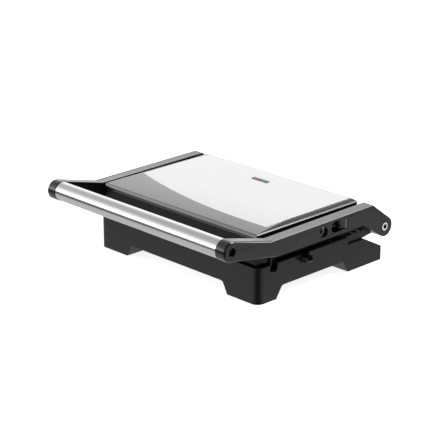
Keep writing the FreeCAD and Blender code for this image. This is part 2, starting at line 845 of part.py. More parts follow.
def thermostat(plate_face, side):
    """Disc thermostat held against the middle of the plate."""
    parts = []
    for radius, start, end in (thermostat_body, thermostat_cap):
        low, high = sorted((plate_face + side * start, plate_face + side * end))
        parts.append(rod("z", radius, 0, plate_middle_y, low, high))
    half_length, half_width, start, end = thermostat_tab
    low, high = sorted((plate_face + side * start, plate_face + side * end))
    tabs = box(-half_length, half_length, plate_middle_y - half_width, plate_middle_y + half_width,
               low, high)
    return join(parts[0], [parts[1], tabs])


def terminal_block():
    front = plate_rear + terminal_from_plate
    rear = front + terminal_length
    top = cover_floor_top + terminal_height
    well_floor = top - terminal_well_depth
    block = box(-terminal_half_width, terminal_half_width, front, rear, cover_floor_top, top)
    wells = [rod("z", terminal_well_radius, x, (front + rear) / 2, well_floor, top + past)
             for x in terminal_places]
    ways = [rod("y", terminal_way_radius, x, well_floor, front - past, rear + past)
            for x in terminal_places]
    return block.cut(wells + ways)


def terminal_screws():
    top = cover_floor_top + terminal_height
    middle = plate_rear + terminal_from_plate + terminal_length / 2
    return [rod("z", terminal_screw_radius, x, middle, top - terminal_screw_bottom,
                top - terminal_screw_top) for x in terminal_places]


def thermal_fuse():
    y = plate_middle_y + fuse_from_middle
    level = lower_plate_low - fuse_drop
    body = rod("x", fuse_radius, y, level, -fuse_half_length, fuse_half_length)
    return join(body, both_sides(rod("x", fuse_lead_radius, y, level, fuse_half_length, fuse_lead_end)))


# ---------------------------------------------------------------- arms
def tangent_point(center, radius, outside, turn):
    """Where a line from an outside point touches a circle; turn picks the side."""
    dy = outside[0] - center[0]
    dz = outside[1] - center[1]
    angle = math.atan2(dz, dy) + turn * math.acos(radius / math.hypot(dy, dz))
    return (center[0] + radius * math.cos(angle), center[1] + radius * math.sin(angle))


def arm_face(level):
    """Side outline of an arm: a round end at the handle, a straight run and a
    cranked tail down to the round hinge end."""
    handle = (handle_y, handle_z)
    hinge = (hinge_y, hinge_z)
    top_front = (handle_y + arm_front_kink_from_handle, arm_top_front_z)
    top_rear = (hinge_y - arm_rear_kink_from_hinge, arm_top_rear_z)
    low_rear = (hinge_y - arm_rear_under_from_hinge, arm_bottom_z)
    low_front = (handle_y + arm_front_under_from_handle, arm_bottom_z)
    nose_top = tangent_point(handle, arm_end_radius, top_front, 1)
    nose_low = tangent_point(handle, arm_end_radius, low_front, -1)
    tail_top = tangent_point(hinge, arm_end_radius, top_rear, -1)
    tail_low = tangent_point(hinge, arm_end_radius, low_rear, 1)
    nose_tip = (handle_y - arm_end_radius, handle_z)
    tip_angle = math.radians(tail_tip_angle)
    tail_tip = (hinge_y + arm_end_radius * math.cos(tip_angle),
                hinge_z + arm_end_radius * math.sin(tip_angle))
    at = {name: place("x", p[0], p[1], level) for name, p in
          dict(nt=nose_top, ni=nose_tip, nl=nose_low, lf=low_front, lr=low_rear, tl=tail_low,
               ti=tail_tip, tt=tail_top, tr=top_rear, tf=top_front).items()}
    edges = [Part.Arc(at["nt"], at["ni"], at["nl"]).toShape(),
             Part.LineSegment(at["nl"], at["lf"]).toShape(),
             Part.LineSegment(at["lf"], at["lr"]).toShape(),
             Part.LineSegment(at["lr"], at["tl"]).toShape(),
             Part.Arc(at["tl"], at["ti"], at["tt"]).toShape(),
             Part.LineSegment(at["tt"], at["tr"]).toShape(),
             Part.LineSegment(at["tr"], at["tf"]).toShape(),
             Part.LineSegment(at["tf"], at["nt"]).toShape()]
    return Part.Face(Part.Wire(edges))


def arm_block(inset, low, high):
    face = arm_face(low)
    if inset:
        face = face.makeOffset2D(-inset)
    return face.extrude(FreeCAD.Vector(high - low, 0, 0))


def arm_shell():
    """Right arm before its own openings: hollow from the inner face, with bosses."""
    block = arm_block(0, arm_inner_x, arm_outer_x)
    kink_y = handle_y + arm_front_kink_from_handle
    block = block.makeChamfer(arm_nose_chamfer, outer_nose_edges(block, kink_y))
    block = block.makeChamfer(arm_edge_chamfer, outer_long_edges(block, kink_y))
    pocket = arm_block(arm_wall, arm_inner_x - past, arm_pocket_x)
    bosses = [rod("x", arm_end_radius, handle_y, handle_z, arm_inner_x, arm_pocket_x),
              rod("x", main_boss_radius, lid_pivot_y, lid_pivot_z,
                  arm_inner_x + arm_cover_thickness + end_face_gap, arm_pocket_x),
              rod("x", hinge_bush_radius, hinge_y, hinge_z, detent_outer_x() + pocket_gap, arm_pocket_x)]
    bosses += [rod("x", arm_boss_radius, y, z, arm_inner_x + arm_cover_thickness, arm_pocket_x)
               for y, z in arm_boss_places]
    pocket = pocket.cut(bosses)
    inside, outside = arm_inner_x - past, arm_outer_x + past
    holes = [rod("x", handle_screw_radius + screw_hole_gap, handle_y, handle_z, inside, outside),
             rod("x", handle_well_radius, handle_y, handle_z, arm_outer_x - handle_well_depth, outside),
             rod("x", lid_pivot_radius + running_gap, lid_pivot_y, lid_pivot_z, inside, outside),
             rod("x", lid_pivot_well_radius, lid_pivot_y, lid_pivot_z,
                 arm_outer_x - lid_pivot_well_depth, outside),
             rod("x", hinge_pin_radius + running_gap, hinge_y, hinge_z, inside, outside)]
    holes += [rod("x", arm_screw_radius, y, z, arm_inner_x, arm_inner_x + arm_screw_depth)
              for y, z in arm_boss_places]
    spigot = ring("x", spigot_radius, core_radius + running_gap, handle_y, handle_z,
                  spigot_end_x, arm_inner_x)
    return join(block.cut([pocket] + holes), [spigot])


def outer_nose_edges(block, kink_y):
    """The outer edges round the handle end and along the top as far as the kink."""
    found = []
    for edge in block.Edges:
        middle = edge.valueAt((edge.FirstParameter + edge.LastParameter) / 2)
        on_face = abs(middle.x - arm_outer_x) < 1e-6 and abs(edge.BoundBox.XLength) < 1e-6
        round_end = middle.y < handle_y
        top_run = middle.y < kink_y and middle.z > handle_z - arm_end_radius / 2
        if on_face and (round_end or top_run):
            found.append(edge)
    return found


def outer_long_edges(block, kink_y):
    """The straight outer edges behind the kink, which get only a small bevel."""
    found = []
    for edge in block.Edges:
        middle = edge.valueAt((edge.FirstParameter + edge.LastParameter) / 2)
        on_face = abs(middle.x - arm_outer_x) < 1e-6 and abs(edge.BoundBox.XLength) < 1e-6
        behind_nose = kink_y + far_past < middle.y < hinge_y - arm_rear_kink_from_hinge
        if on_face and behind_nose and middle.z > arm_top_front_z - past:
            found.append(edge)
    return found


def detent_outer_x():
    return arm_inner_x + arm_cover_thickness + cover_face_gap + detent_thickness


def right_arm():
    arm = arm_shell()
    half = (window_high_z - window_low_z) / 2
    window = rectangle(window_front_y, window_rear_y, window_low_z, window_high_z)
    front_radius = half - window_flat
    radii = [front_radius, window_rear_radius, window_rear_radius, front_radius]
    opening = prism(window, "x", arm_pocket_x - past, arm_outer_x + past, radii)
    return arm.cut([opening, release_guide_pin()])


def arm_cover():
    plate = arm_block(arm_wall + seat_gap, arm_inner_x, arm_inner_x + arm_cover_thickness)
    low, high = arm_inner_x - past, arm_inner_x + arm_cover_thickness + past
    holes = [rod("x", arm_end_radius + seat_gap, handle_y, handle_z, low, high),
             rod("x", lid_pivot_radius + pivot_hole_in_cover_gap, lid_pivot_y, lid_pivot_z, low, high),
             rod("x", hinge_pin_radius + screw_head_gap, hinge_y, hinge_z, low, high)]
    holes += [rod("x", arm_screw_hole_radius, y, z, low, high) for y, z in arm_boss_places]
    holes += [rod("x", arm_screw_sink_radius, y, z, low, arm_inner_x + arm_screw_head_seat)
              for y, z in arm_boss_places]
    plate = plate.cut(holes)
    return max(plate.Solids, key=lambda solid: solid.Volume)


def arm_cover_screws():
    found = []
    seat = arm_inner_x + arm_screw_head_seat
    for y, z in arm_boss_places:
        head = rod("x", arm_screw_head_radius, y, z, arm_inner_x + end_face_gap, seat)
        shank = rod("x", arm_screw_radius, y, z, seat, arm_inner_x + arm_screw_length)
        found.append(join(head, [shank]))
    return [piece for item in found for piece in both_sides(item)]


def handle_tube():
    end = arm_inner_x - end_face_gap
    return ring("x", tube_radius, tube_bore_radius, handle_y, handle_z, -end, end)


def handle_core_rod():
    """Bar through the tube; its ends sit in the arms' spigots and take the screws."""
    end = arm_inner_x - end_face_gap
    core = rod("x", core_radius, handle_y, handle_z, -end, end)
    tap = rod("x", handle_screw_radius, handle_y, handle_z, end - handle_tap_depth, end + past)
    return core.cut(both_sides(tap))


def handle_screw():
    seat = arm_outer_x - handle_well_depth
    head = rod("x", handle_head_radius, handle_y, handle_z, seat, seat + handle_head_height)
    shank = rod("x", handle_screw_radius, handle_y, handle_z, arm_inner_x - handle_screw_reach, seat)
    top = seat + handle_head_height
    key = hexagon("x", handle_key_flats, handle_y, handle_z, top - handle_key_depth, top + past)
    return join(head, [shank]).cut(key)


# ---------------------------------------------------------------- hinge release
def release_slider():
    """Block inside the right arm, with the finger tab that shows in the window."""
    rear = release_rest_rear
    front = rear - release_block_length
    block = box(arm_inner_x + arm_cover_thickness + cover_face_gap, arm_pocket_x - pocket_gap, front, rear,
                window_low_z + pocket_gap, window_high_z - pocket_gap)
    tab_rear = window_rear_y - release_tab_from_rear
    tab_front = tab_rear - release_tab_thickness
    tab = box(arm_pocket_x - pocket_gap - release_tab_root, arm_outer_x - end_face_gap, tab_front, tab_rear,
              window_low_z + release_tab_gap, window_high_z - release_tab_gap)
    scoop = rod("z", release_scoop_radius, arm_outer_x + release_scoop_out,
                tab_front - release_scoop_ahead, window_low_z, window_high_z)
    bore_radius = spring_radius + spring_wire_radius + spring_bore_gap
    bore = rod("y", bore_radius, spring_x(), spring_z(), front - past, rear - release_cap)
    rod_hole = rod("y", release_rod_radius, detent_middle_x(), rod_z(), rear - release_rod_seat,
                   rear + past)
    return join(block, [tab]).cut([scoop, bore, rod_hole])


def detent_middle_x():
    return arm_inner_x + arm_cover_thickness + cover_face_gap + detent_thickness / 2


def spring_x():
    return arm_pocket_x - pocket_gap - spring_radius - spring_wire_radius - spring_shelf


def spring_z():
    return window_low_z + spring_rise


def rod_z():
    return window_high_z - release_rod_below_top


def release_spring():
    """Coil spring in the slider's bore; it pushes the pawl towards the hinge."""
    length = release_block_length - spring_end_room
    turns_height = length - 2 * spring_wire_radius
    helix = Part.makeHelix(spring_pitch, turns_height, spring_radius)
    wire_section = Part.Wire(Part.makeCircle(spring_wire_radius, FreeCAD.Vector(spring_radius, 0, 0),
                                             FreeCAD.Vector(0, 1, 0)))
    coil = Part.Wire(helix).makePipeShell([wire_section], True, True)
    coil.rotate(FreeCAD.Vector(0, 0, 0), FreeCAD.Vector(1, 0, 0), -90)
    front = release_rest_rear - release_block_length
    coil.translate(FreeCAD.Vector(spring_x(), front + spring_shelf + spring_wire_radius, spring_z()))
    return coil.Solids[0]


def release_guide_pin():
    """Fixed pin, seated in the lid pivot's boss, that the spring slides over."""
    boss_edge = lid_pivot_y + main_boss_radius
    front = release_rest_rear - release_block_length
    return rod("y", guide_radius, spring_x(), spring_z(), boss_edge - guide_seat, front - guide_end_gap)


def release_pawl_rod():
    """Bent wire from the slider to the detent disc on the hinge pin."""
    x = detent_middle_x()
    nose_z = hinge_z + release_nose_rise
    nose_y = hinge_y - math.sqrt(detent_radius ** 2 - release_nose_rise ** 2) - release_nose_gap
    start = FreeCAD.Vector(x, release_rest_rear - release_rod_seat, rod_z())
    points = [start, FreeCAD.Vector(x, hinge_y - release_rod_bend, rod_z()),
              FreeCAD.Vector(x, nose_y - release_nose_length, nose_z), FreeCAD.Vector(x, nose_y, nose_z)]
    spans = []
    for a, b in zip(points, points[1:]):
        spans.append(Part.makeCylinder(release_rod_radius, (b - a).Length, a, b - a))
    knuckles = [Part.makeSphere(release_rod_radius, p) for p in points[1:-1]]
    return join(spans[0], spans[1:] + knuckles)


def detent_disc():
    """Disc on the right hinge pin; its notch meets the rod's nose when the lid stands open."""
    inner = arm_inner_x + arm_cover_thickness + cover_face_gap
    disc = ring("x", detent_radius, hinge_pin_radius, hinge_y, hinge_z, inner, inner + detent_thickness)
    angle = math.pi - math.asin(release_nose_rise / detent_radius) - math.radians(detent_open_angle)
    y = hinge_y + detent_radius * math.cos(angle)
    z = hinge_z + detent_radius * math.sin(angle)
    return disc.cut(rod("x", detent_notch_radius, y, z, inner - past, inner + detent_thickness + past))


# ---------------------------------------------------------------- lid
def crown_arc(inset):
    """Three points of the shallow front-to-rear curve of the lid's top."""
    drop = lid_top_z - lid_front_crease_z
    run = lid_crown_y - (lid_front + lid_front_crease_run)
    radius = (run ** 2 + drop ** 2) / (2 * drop)
    half = run / 2
    middle_z = lid_top_z - (radius - math.sqrt(radius ** 2 - half ** 2))
    return ((lid_front + lid_front_crease_run + inset * crease_share, lid_front_crease_z - inset),
            (lid_crown_y - half, middle_z - inset), (lid_crown_y, lid_top_z - inset))


def lid_cross_section(inset, low):
    """Side-to-side section of the lid's shell, with a rounded shoulder at each side."""
    edge = (lid_half - inset, lid_side_crease_z - inset * crease_share)
    crest = (lid_crest_x - inset * crest_inner_share, lid_top_z - inset)
    chord = math.hypot(edge[0] - crest[0], crest[1] - edge[1])
    out_x = (crest[1] - edge[1]) / chord * crest_bulge
    out_z = (edge[0] - crest[0]) / chord * crest_bulge
    shoulder = ((edge[0] + crest[0]) / 2 + out_x, (edge[1] + crest[1]) / 2 + out_z)
    peak = crest[1] + crest_peak
    start = lid_front - far_past

    def at(point, side):
        return place("y", side * point[0], point[1], start)

    def line(first, second):
        return Part.LineSegment(first, second).toShape()

    edges = [line(at((edge[0], low), -1), at((edge[0], low), 1)),
             line(at((edge[0], low), 1), at(edge, 1)),
             Part.Arc(at(edge, 1), at(shoulder, 1), at(crest, 1)).toShape(),
             line(at(crest, 1), at((crest[0], peak), 1)),
             line(at((crest[0], peak), 1), at((crest[0], peak), -1)),
             line(at((crest[0], peak), -1), at(crest, -1)),
             Part.Arc(at(crest, -1), at(shoulder, -1), at(edge, -1)).toShape(),
             line(at(edge, -1), at((edge[0], low), -1))]
    length = lid_rear - lid_front + 2 * far_past
    return Part.Face(Part.Wire(edges)).extrude(FreeCAD.Vector(0, length, 0))


def lid_cover_body(inset, low):
    """The lid's upper shell as a solid, drawn in on every side by an inset."""
    front, middle, crown = crown_arc(inset)
    bottom_front = (lid_front + inset, low)
    foot = (lid_front + inset, lid_front_foot_z - inset * crease_share)
    rear_crest = (lid_rear - lid_rear_crest_inset - inset * crest_share, lid_top_z - inset)
    rear_corner = (lid_rear - inset, lid_side_crease_z - inset * crest_share)
    bottom_rear = (lid_rear - inset, low)
    top = [place("x", y, z, -lid_half) for y, z in (front, middle, crown)]
    around = [crown, rear_crest, rear_corner, bottom_rear, bottom_front, foot, front]
    at = [place("x", y, z, -lid_half) for y, z in around]
    edges = [Part.Arc(*top).toShape()]
    edges += [Part.LineSegment(first, second).toShape() for first, second in zip(at, at[1:])]
    along_x = Part.Face(Part.Wire(edges)).extrude(FreeCAD.Vector(2 * lid_half, 0, 0))
    along_y = lid_cross_section(inset, low)
    plan = rectangle(-lid_half + inset, lid_half - inset, lid_front + inset, lid_rear - inset)
    front_r = lid_front_corner_radius - inset
    rear_r = lid_rear_corner_radius - inset
    upright = prism(plan, "z", low, lid_top_z + past, [front_r, front_r, rear_r, rear_r])
    return along_x.common(along_y).common(upright)


def steel_outline(gap, low, high):
    """Prism over the steel sheet; its front edge is one sweeping arc."""
    edge = lid_crest_x - steel_edge_inset + gap
    rear = lid_rear - lid_rear_crest_inset - steel_edge_inset + gap
    left = place("z", -edge, steel_left_y - gap, low)
    middle = place("z", steel_middle_x, steel_middle_y - gap, low)
    right = place("z", edge, steel_right_y - gap, low)
    rear_right = place("z", edge, rear, low)
    rear_left = place("z", -edge, rear, low)
    edges = [Part.Arc(left, middle, right).toShape(), Part.LineSegment(right, rear_right).toShape(),
             Part.LineSegment(rear_right, rear_left).toShape(), Part.LineSegment(rear_left, left).toShape()]
    return Part.Face(Part.Wire(edges)).extrude(FreeCAD.Vector(0, 0, high - low))


def steel_layer(gap, extra_depth):
    """A thin slice under the lid's top surface, as wide as the steel sheet."""
    upper = lid_cover_body(0, lid_seam_z)
    lower = lid_cover_body(0, lid_seam_z)
    lower.translate(FreeCAD.Vector(0, 0, -steel_thickness - extra_depth))
    layer = upper.common(steel_outline(gap, lid_seam_z, lid_top_z + past))
    return layer.cut(lower)


lid_cover_screws_at = [(sx * (lid_half - lid_screw_side_margin), y) for sx in (-1, 1)
                       for y in (lid_front + lid_screw_end_margin, lid_rear - lid_screw_end_margin)]


def lid_top_cover():
    shell = lid_cover_body(0, lid_seam_z).cut(lid_cover_body(lid_cover_wall, lid_seam_z - past))
    pad = steel_outline(steel_pad_margin, lid_seam_z, lid_top_z + past)
    pad = pad.common(lid_cover_body(steel_gap * 2, lid_seam_z))
    lowered = lid_cover_body(0, lid_seam_z)
    lowered.translate(FreeCAD.Vector(0, 0, -steel_thickness - lid_cover_wall))
    shell = join(shell, [pad.cut(lowered)])
    bosses = [rod("z", lid_screw_boss_radius, x, y, lid_seam_z, lid_top_z - lid_screw_boss_drop)
              for x, y in lid_cover_screws_at]
    bosses = [boss.common(lid_cover_body(past, lid_seam_z)) for boss in bosses]
    shell = join(shell, bosses).cut(steel_layer(steel_gap, steel_bed_gap))
    holes = [rod("z", lid_screw_radius, x, y, lid_seam_z - past, lid_seam_z + lid_screw_hole_depth)
             for x, y in lid_cover_screws_at]
    return shell.cut(holes + [lamp_well()])


def lamp_well():
    """The opening through the lid's skin that the lamp bezel drops into."""
    well = rectangle(-bezel_length / 2 + lamp_well_inset, bezel_length / 2 - lamp_well_inset,
                     bezel_y - bezel_width / 2 + lamp_well_inset,
                     bezel_y + bezel_width / 2 - lamp_well_inset)
    return prism(well, "z", lid_seam_z, lid_top_z + past, lamp_corner_radius)


def lid_steel_panel():
    sheet = steel_layer(0, 0).cut(lamp_well())
    return max(sheet.Solids, key=lambda solid: solid.Volume)


def lid_lower_housing():
    outer_half = lid_half - lid_skirt_inset
    front = lid_front + lid_skirt_inset
    rear = lid_rear - lid_skirt_inset

    def plan(inset, low, high):
        front_r = lid_front_corner_radius - lid_skirt_inset - inset
        rear_r = lid_rear_corner_radius - lid_skirt_inset - inset
        outline = rectangle(-outer_half + inset, outer_half - inset, front + inset, rear - inset)
        return prism(outline, "z", low, high, [front_r, front_r, rear_r, rear_r])

    shell = plan(0, lid_bottom_z, deck_top_z).cut(plan(lid_wall, lid_bottom_z - past, deck_low_z))
    pivot_boss = rod("x", lid_pivot_boss_radius, lid_pivot_y, lid_pivot_z,
                     outer_half - lid_pivot_boss_length, outer_half)
    pivot_boss = pivot_boss.common(box(0, outer_half, front, rear, lid_bottom_z, deck_top_z))
    posts = [rod("z", post_radius, x, y, upper_plate_top + plate_boss_height, deck_top_z)
             for x, y in lid_posts]
    tab = box(outer_half - past, half_base - lid_tab_from_side, catch_notch_y - lid_tab_half_width,
              catch_notch_y + lid_tab_half_width, base_height - catch_notch_depth + lid_tab_above_notch,
              lid_bottom_z + lid_tab_rise)
    shell = join(shell, posts + both_sides(pivot_boss) + [tab])
    top = deck_top_z + past
    holes = [rod("z", screw_radius + screw_hole_gap, x, y, upper_plate_top, top) for x, y in lid_posts]
    holes += [rod("z", screw_head_radius + screw_head_gap, x, y, deck_low_z - lid_head_sink, top)
              for x, y in lid_posts]
    holes += [rod("z", lid_screw_hole_radius, x, y, deck_low_z - past, top)
              for x, y in lid_cover_screws_at]
    holes += both_sides(rod("x", lid_pivot_radius, lid_pivot_y, lid_pivot_z,
                            outer_half - lid_pivot_boss_length, lid_half))
    holes.append(box(-lamp_wiring_half_length, lamp_wiring_half_length, bezel_y - lamp_wiring_half_width,
                     bezel_y + lamp_wiring_half_width, deck_low_z - past, top))
    return shell.cut(holes)


def lid_cover_screws():
    found = []
    for x, y in lid_cover_screws_at:
        head = rod("z", lid_screw_head_radius, x, y, deck_low_z - lid_screw_head_height, deck_low_z)
        shank = rod("z", lid_screw_radius, x, y, deck_low_z, lid_seam_z + lid_screw_reach)
        found.append(join(head, [shank]))
    return found


def lid_pivot_pin():
    seat = arm_outer_x - lid_pivot_well_depth + lid_pivot_seat
    shank = rod("x", lid_pivot_radius, lid_pivot_y, lid_pivot_z, lid_half - lid_pivot_boss_length, seat)
    head = rod("x", lid_pivot_head_radius, lid_pivot_y, lid_pivot_z, seat, seat + lid_pivot_head_height)
    top = seat + lid_pivot_head_height
    slot = box(top - lid_pivot_slot_depth, top + past, lid_pivot_y - lid_pivot_slot_half_width,
               lid_pivot_y + lid_pivot_slot_half_width, lid_pivot_z - far_past, lid_pivot_z + far_past)
    return join(shank, [head]).cut(slot)


def lid_pivot_bush():
    outer = lid_seam_z - lid_pivot_z - lid_pivot_bush_below_seam
    return ring("x", outer, lid_pivot_radius, lid_pivot_y, lid_pivot_z,
                lid_half - lid_skirt_inset, arm_inner_x - lid_pivot_bush_gap)


def centred_plan(x, half_length, half_width):
    return rectangle(x - half_length, x + half_length, bezel_y - half_width, bezel_y + half_width)


def lamp_bezel():
    rim_plan = centred_plan(0, bezel_length / 2, bezel_width / 2)
    rim = prism(rim_plan, "z", lid_top_z, lid_top_z + bezel_height, bezel_corner_radius)
    stem_plan = centred_plan(0, bezel_length / 2 - bezel_wall, bezel_width / 2 - bezel_stem_inset)
    stem = prism(stem_plan, "z", lid_top_z - lamp_depth, lid_top_z, bezel_corner_radius / 2)
    body = join(rim, [stem])
    for x in (-lamp_offset, lamp_offset):
        hole = centred_plan(x, lamp_length / 2, lamp_width / 2)
        body = body.cut(prism(hole, "z", lid_top_z - lamp_depth - past, lid_top_z + past,
                              lamp_corner_radius))
    return body


def lamp_lens(x):
    plan = centred_plan(x, lamp_length / 2 - lamp_clearance, lamp_width / 2 - lamp_clearance)
    return prism(plan, "z", lid_top_z - lamp_depth, lid_top_z + bezel_height + lamp_clearance,
                 lamp_corner_radius - lamp_clearance)


# ---------------------------------------------------------------- write every node
def build():
    os.makedirs("parts", exist_ok=True)
    lower_level = lower_plate_low - element_radius - element_gap
    upper_level = upper_plate_top + element_radius + element_gap
    save("base_housing", base_housing())
    save("base_bottom_cover", base_bottom_cover())
    save("bottom_cover_screws", bottom_cover_screws())
    save("rubber_feet", rubber_feet())
    save("cord_inlet_bush", cord_inlet_bush())
    save("lower_grill_plate", lower_grill_plate())
    save("lower_plate_screws",
         [screw("z", x, y, channel_height + end_face_gap, lower_plate_top - plate_screw_stop)
          for x, y in base_posts])
    save("lower_heating_element", heating_element(lower_level))
    save("lower_element_clamps", element_clamps(lower_level, lower_plate_low))
    save("lower_heat_shield", heat_shield(lower_plate_low - shield_drop, -1, base_posts))
    save("lower_thermostat", thermostat(lower_plate_low, -1))
    save("thermal_fuse", thermal_fuse())
    save("terminal_block", terminal_block())
    save("terminal_screws", terminal_screws())
    save("hinge_bracket_right", hinge_bracket())
    save("hinge_bracket_left", mirrored(hinge_bracket()))
    bracket_top = step_z + bracket_screw_top
    save("hinge_bracket_screws",
         [screw("z", x, y, bracket_top, step_z - bracket_screw_length, -1)
          for x, y in bracket_screw_places])
    save("hinge_pin_right", hinge_pin())
    save("hinge_pin_left", mirrored(hinge_pin()))
    save("hinge_nuts", both_sides(hinge_nut()))
    save("hinge_bushes", both_sides(hinge_bush()))
    save("hinge_detent_disc", detent_disc())

    save("right_arm", right_arm())
    save("left_arm", mirrored(arm_shell()))
    save("right_arm_cover", arm_cover())
    save("left_arm_cover", mirrored(arm_cover()))
    save("arm_cover_screws", arm_cover_screws())
    save("handle_tube", handle_tube())
    save("handle_core_rod", handle_core_rod())
    save("handle_screws", both_sides(handle_screw()))
    save("release_guide_pin", release_guide_pin())

    save("release_slider", release_slider())
    save("release_spring", release_spring())
    save("release_pawl_rod", release_pawl_rod())

    save("lid_top_cover", lid_top_cover())
    save("lid_steel_panel", lid_steel_panel())
    save("lid_lower_housing", lid_lower_housing())
    save("lid_cover_screws", lid_cover_screws())
    save("upper_grill_plate", upper_grill_plate())
    save("upper_plate_screws",
         [screw("z", x, y, deck_low_z - lid_plate_screw_drop, upper_plate_low + plate_screw_stop, -1)
          for x, y in lid_posts])
    save("upper_heating_element", heating_element(upper_level))
    save("upper_element_clamps", element_clamps(upper_level, upper_plate_top))
    save("upper_heat_shield", heat_shield(upper_plate_top + shield_drop, 1, lid_posts))
    save("upper_thermostat", thermostat(upper_plate_top, 1))
    save("lid_pivot_pin_right", lid_pivot_pin())
    save("lid_pivot_pin_left", mirrored(lid_pivot_pin()))
    save("lid_pivot_bushes", both_sides(lid_pivot_bush()))
    save("lamp_bezel", lamp_bezel())
    save("power_lamp", lamp_lens(-lamp_offset))
    save("ready_lamp", lamp_lens(lamp_offset))


build()
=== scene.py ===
import json
import math

import bmesh
import bpy
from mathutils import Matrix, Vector


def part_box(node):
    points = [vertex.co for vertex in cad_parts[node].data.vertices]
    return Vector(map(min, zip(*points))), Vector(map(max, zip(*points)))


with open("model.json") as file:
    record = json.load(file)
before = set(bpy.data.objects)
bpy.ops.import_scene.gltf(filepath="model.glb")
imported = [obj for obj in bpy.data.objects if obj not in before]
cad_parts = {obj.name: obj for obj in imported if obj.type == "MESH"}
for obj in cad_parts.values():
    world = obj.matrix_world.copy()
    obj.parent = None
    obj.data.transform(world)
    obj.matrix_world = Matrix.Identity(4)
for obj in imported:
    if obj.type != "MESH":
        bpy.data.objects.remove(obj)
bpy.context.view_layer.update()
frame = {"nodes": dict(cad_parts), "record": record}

MM = 0.001


# ------------------------------------------------------------ node helpers
def new_material(name):
    """An empty material with its output and a Principled shader."""
    material = bpy.data.materials.new(name)
    material.use_nodes = True
    tree = material.node_tree
    tree.nodes.clear()
    output = tree.nodes.new("ShaderNodeOutputMaterial")
    shader = tree.nodes.new("ShaderNodeBsdfPrincipled")
    tree.links.new(shader.outputs["BSDF"], output.inputs["Surface"])
    return material, tree, shader


def new_group(name, inputs, outputs):
    """A shader node group; inputs are (name, kind, default), outputs (name, kind)."""
    tree = bpy.data.node_groups.new(name, "ShaderNodeTree")
    for label, kind, default in inputs:
        socket = tree.interface.new_socket(name=label, in_out="INPUT", socket_type=kind)
        if default is not None:
            socket.default_value = default
    for label, kind in outputs:
        tree.interface.new_socket(name=label, in_out="OUTPUT", socket_type=kind)
    return tree, tree.nodes.new("NodeGroupInput"), tree.nodes.new("NodeGroupOutput")


def place_group(tree, group, **values):
    node = tree.nodes.new("ShaderNodeGroup")
    node.node_tree = group
    for label, value in values.items():
        node.inputs[label.replace("_", " ")].default_value = value
    return node


def math_node(tree, operation, first, second):
    node = tree.nodes.new("ShaderNodeMath")
    node.operation = operation
    for socket, value in zip(node.inputs, (first, second)):
        if isinstance(value, (int, float)):
            socket.default_value = value
        else:
            tree.links.new(value, socket)
    return node.outputs[0]


def ramp(tree, value, low, high, start, end):
    """Smooth step of a value from start to end as it goes from low to high."""
    node = tree.nodes.new("ShaderNodeMapRange")
    node.interpolation_type = "SMOOTHSTEP"
    tree.links.new(value, node.inputs["Value"])
    node.inputs["From Min"].default_value = low
    node.inputs["From Max"].default_value = high
    node.inputs["To Min"].default_value = start
    node.inputs["To Max"].default_value = end
    return node.outputs["Result"]


def object_vector(tree, scale):
    """Object coordinates stretched by a scale along each axis."""
    coordinates = tree.nodes.new("ShaderNodeTexCoord")
    mapping = tree.nodes.new("ShaderNodeMapping")
    mapping.inputs["Scale"].default_value = scale
    tree.links.new(coordinates.outputs["Object"], mapping.inputs["Vector"])
    return mapping.outputs["Vector"]


# ------------------------------------------------------------ shared effects
FLOAT = "NodeSocketFloat"
COLOUR = "NodeSocketColor"
VECTOR = "NodeSocketVector"

GRAIN_SCALE = 1800.0
GRAIN_DETAIL = 3.0
GRAIN_RELIEF = 0.0001
PATCH_SCALE = 26.0
PATCH_DETAIL = 4.0
PATCH_BRIGHTNESS_SHARE = 0.6
STREAK_SCALE = 1.0
STREAK_DETAIL = 6.0
STREAK_HARSHNESS = 0.7
STREAK_RELIEF = 0.00005


